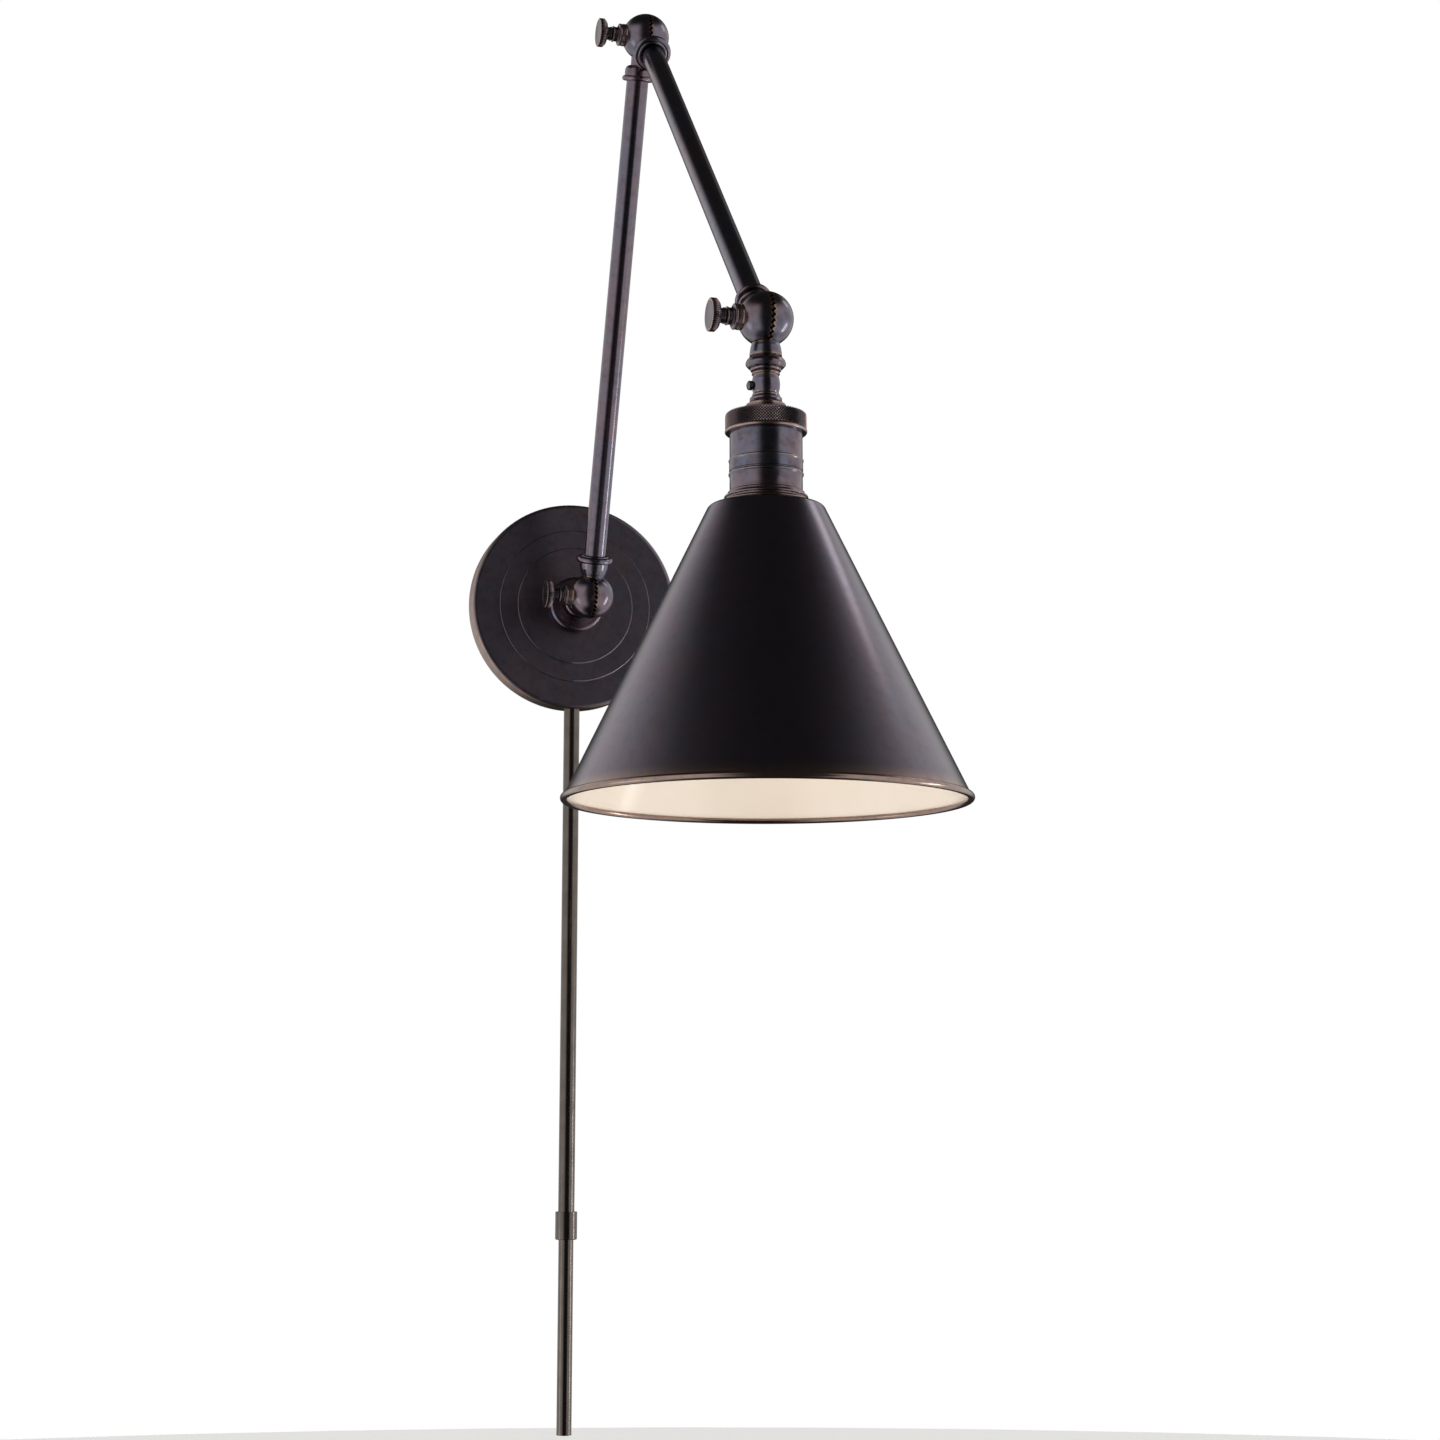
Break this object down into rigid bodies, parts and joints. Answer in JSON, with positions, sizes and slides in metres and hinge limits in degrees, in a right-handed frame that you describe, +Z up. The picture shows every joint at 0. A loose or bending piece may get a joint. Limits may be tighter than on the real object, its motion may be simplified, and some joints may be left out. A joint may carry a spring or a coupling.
{
  "type": "swing arm wall sconce",
  "caption": "Wall light with two hinged arms on toothed ball knuckles, a cone shade on a threaded lampholder and a telescoping cord cover below its round plate.",
  "frame": {"origin": "centre of the wall plate's back face, on the wall, midway between the mounting bar's two slots", "axes": "+Y into the wall, the light stands out to -Y, +X to the right of someone who faces the wall, +Z up"},
  "size_m": [0.192, 0.4868, 0.8101],
  "materials": {
    "aged_bronze": "satin",
    "rubbed_bronze": "satin",
    "plain_brass": "satin",
    "zinc_steel": "satin",
    "green_screw": "satin",
    "wire_jacket": "satin",
    "black_phenolic": "satin",
    "porcelain": "gloss",
    "white_enamel": "satin"
  },
  "bodies": {
    "wall_side": {"wall_plate": "aged_bronze", "mounting_bar": "zinc_steel", "ground_screw": "green_screw", "mounting_nipple": "plain_brass", "nipple_locknut": "zinc_steel", "hub_ring": "rubbed_bronze", "hub_knuckle": "aged_bronze", "hub_screw_boss": "rubbed_bronze", "supply_wires": "wire_jacket", "cord_cover_tube": "aged_bronze", "cord_cover_collar": "rubbed_bronze", "cord_bushing": "black_phenolic"},
    "cover_slider": {"cord_cover_slider": "aged_bronze"},
    "hub_clamp": {"hub_thumbscrew": "rubbed_bronze"},
    "lower_arm": {"lower_arm_knuckle": "aged_bronze", "lower_arm_tube": "aged_bronze", "lower_arm_wires": "wire_jacket", "elbow_knuckle": "aged_bronze", "elbow_screw_boss": "rubbed_bronze"},
    "elbow_clamp": {"elbow_thumbscrew": "rubbed_bronze"},
    "upper_arm": {"upper_arm_knuckle": "aged_bronze", "upper_arm_tube": "aged_bronze", "upper_arm_wires": "wire_jacket", "shade_knuckle": "aged_bronze", "shade_screw_boss": "rubbed_bronze"},
    "shade_clamp": {"shade_thumbscrew": "rubbed_bronze"},
    "lamp_head": {"neck_knuckle": "aged_bronze", "neck_barrel": "rubbed_bronze", "barrel_set_screw": "rubbed_bronze", "head_wires": "wire_jacket", "socket_cap": "aged_bronze", "knurled_ring": "rubbed_bronze", "socket_shell": "aged_bronze", "socket_liner": "black_phenolic", "socket_body": "porcelain", "screw_shell": "plain_brass", "centre_contact": "plain_brass", "terminal_screws": "plain_brass", "shade_holder": "aged_bronze", "shade": "aged_bronze", "shade_lining": "white_enamel", "shade_ring": "black_phenolic"}
  },
  "joints": [
    {"name": "base_hinge", "type": "hinge", "parent": "wall_side", "child": "lower_arm", "pos_m": [0.0024, -0.046, 0], "axis": [1, 0, 0], "range_deg": [-24, 58]},
    {"name": "elbow_hinge", "type": "hinge", "parent": "lower_arm", "child": "upper_arm", "pos_m": [0.0048, -0.16157, 0.3091], "axis": [1, 0, 0], "range_deg": [-150, 8]},
    {"name": "shade_hinge", "type": "hinge", "parent": "upper_arm", "child": "lamp_head", "pos_m": [0.0072, -0.39081, 0.07172], "axis": [1, 0, 0], "range_deg": [-135, 70]},
    {"name": "hub_clamp_turn", "type": "hinge", "parent": "wall_side", "child": "hub_clamp", "pos_m": [0.0024, -0.046, 0], "axis": [1, 0, 0], "range_deg": [-360, 0]},
    {"name": "elbow_clamp_turn", "type": "hinge", "parent": "lower_arm", "child": "elbow_clamp", "pos_m": [0.0048, -0.16157, 0.3091], "axis": [1, 0, 0], "range_deg": [-360, 0]},
    {"name": "shade_clamp_turn", "type": "hinge", "parent": "upper_arm", "child": "shade_clamp", "pos_m": [0.0072, -0.39081, 0.07172], "axis": [1, 0, 0], "range_deg": [-360, 0]},
    {"name": "cover_slide", "type": "slide", "parent": "wall_side", "child": "cover_slider", "axis": [0, 0, -1], "range_m": [-0.1, 0.12]}
  ]
}
